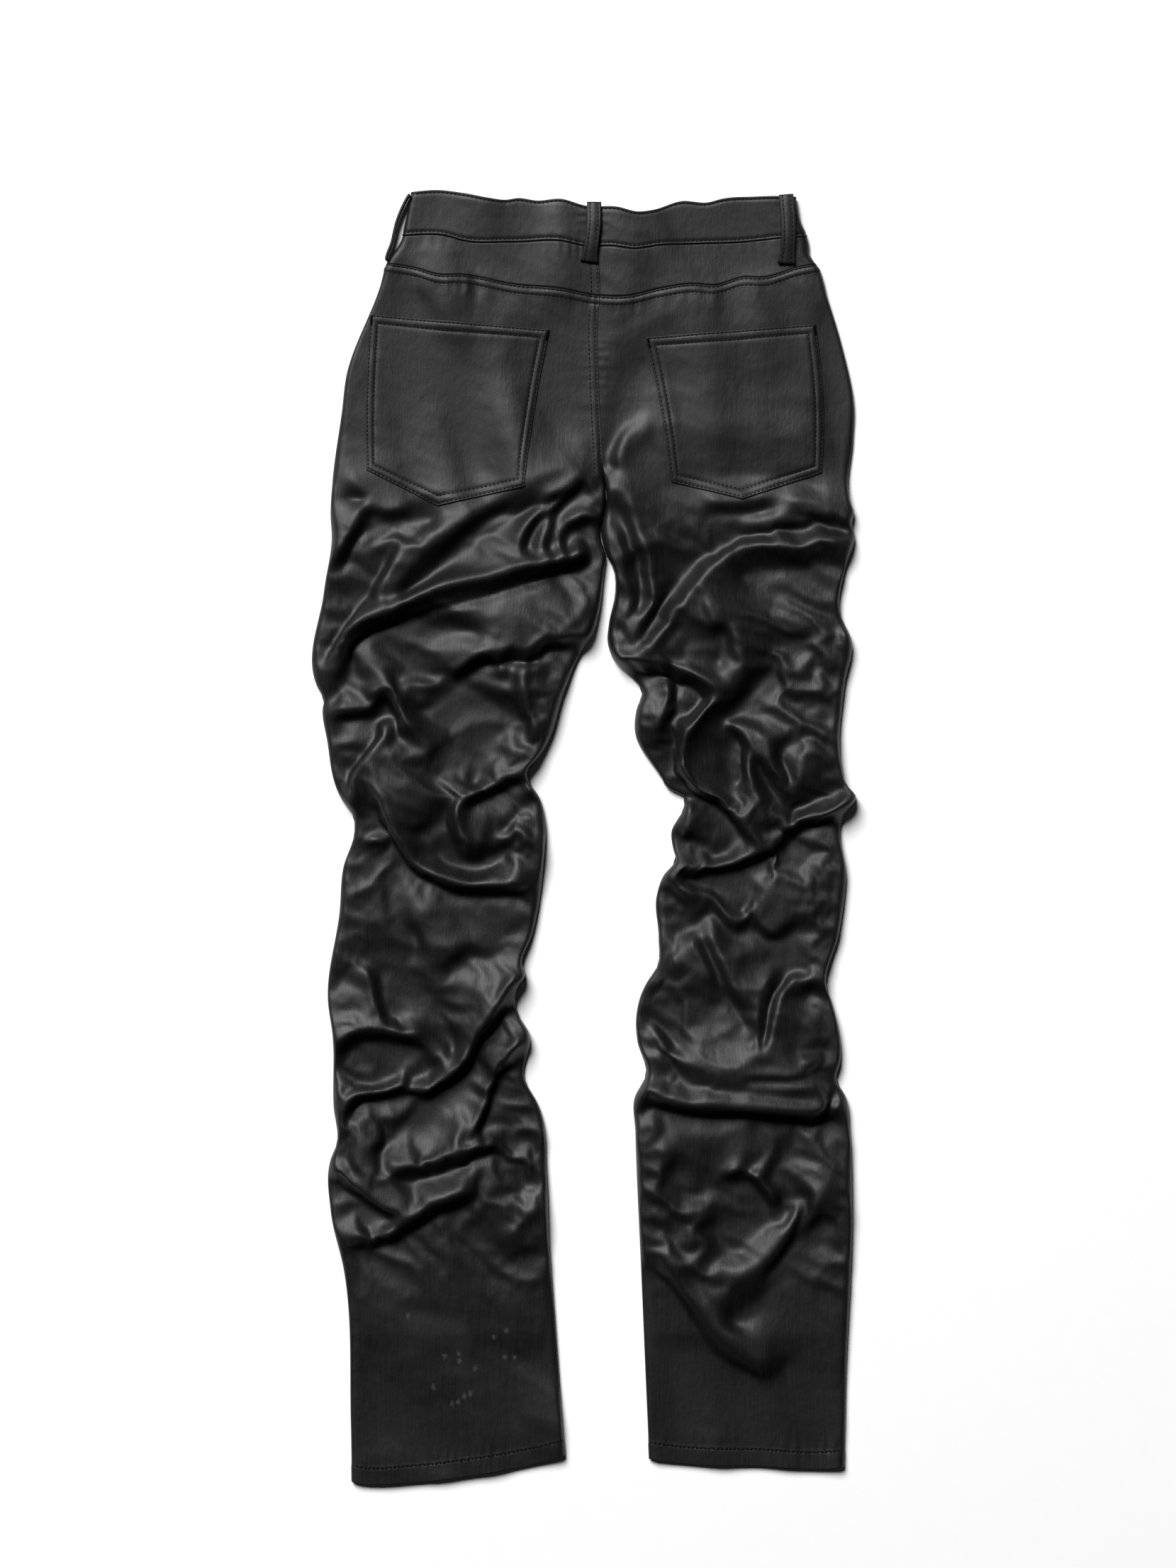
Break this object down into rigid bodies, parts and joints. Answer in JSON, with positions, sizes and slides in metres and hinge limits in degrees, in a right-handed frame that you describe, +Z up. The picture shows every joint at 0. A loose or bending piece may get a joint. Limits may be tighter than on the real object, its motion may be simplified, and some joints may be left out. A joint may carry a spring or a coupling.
{
  "type": "stacked jeans",
  "caption": "Long-legged coated stretch jeans laid flat with the back up, the legs stacked in folds from hip to ankle.",
  "frame": {"origin": "on the surface the garment lies on, under the centre of its bounding box", "axes": "+Y from the hems to the waist, +Z up out of the garment's back, +X to the right seen from above"},
  "size_m": [0.4447, 1.0579, 0.021],
  "materials": {
    "coated_denim": "waxed, satin",
    "button_metal": "satin"
  },
  "bodies": {
    "root": {"back_left": "coated_denim", "back_right": "coated_denim", "front_left": "coated_denim", "front_right": "coated_denim", "yoke_left": "coated_denim", "yoke_right": "coated_denim", "waistband_back": "coated_denim", "waistband_front_left": "coated_denim", "waistband_front_right": "coated_denim", "pocket_left": "coated_denim", "pocket_right": "coated_denim", "belt_loop_left": "coated_denim", "belt_loop_centre": "coated_denim", "belt_loop_right": "coated_denim", "waist_button": "button_metal"}
  },
  "joints": []
}
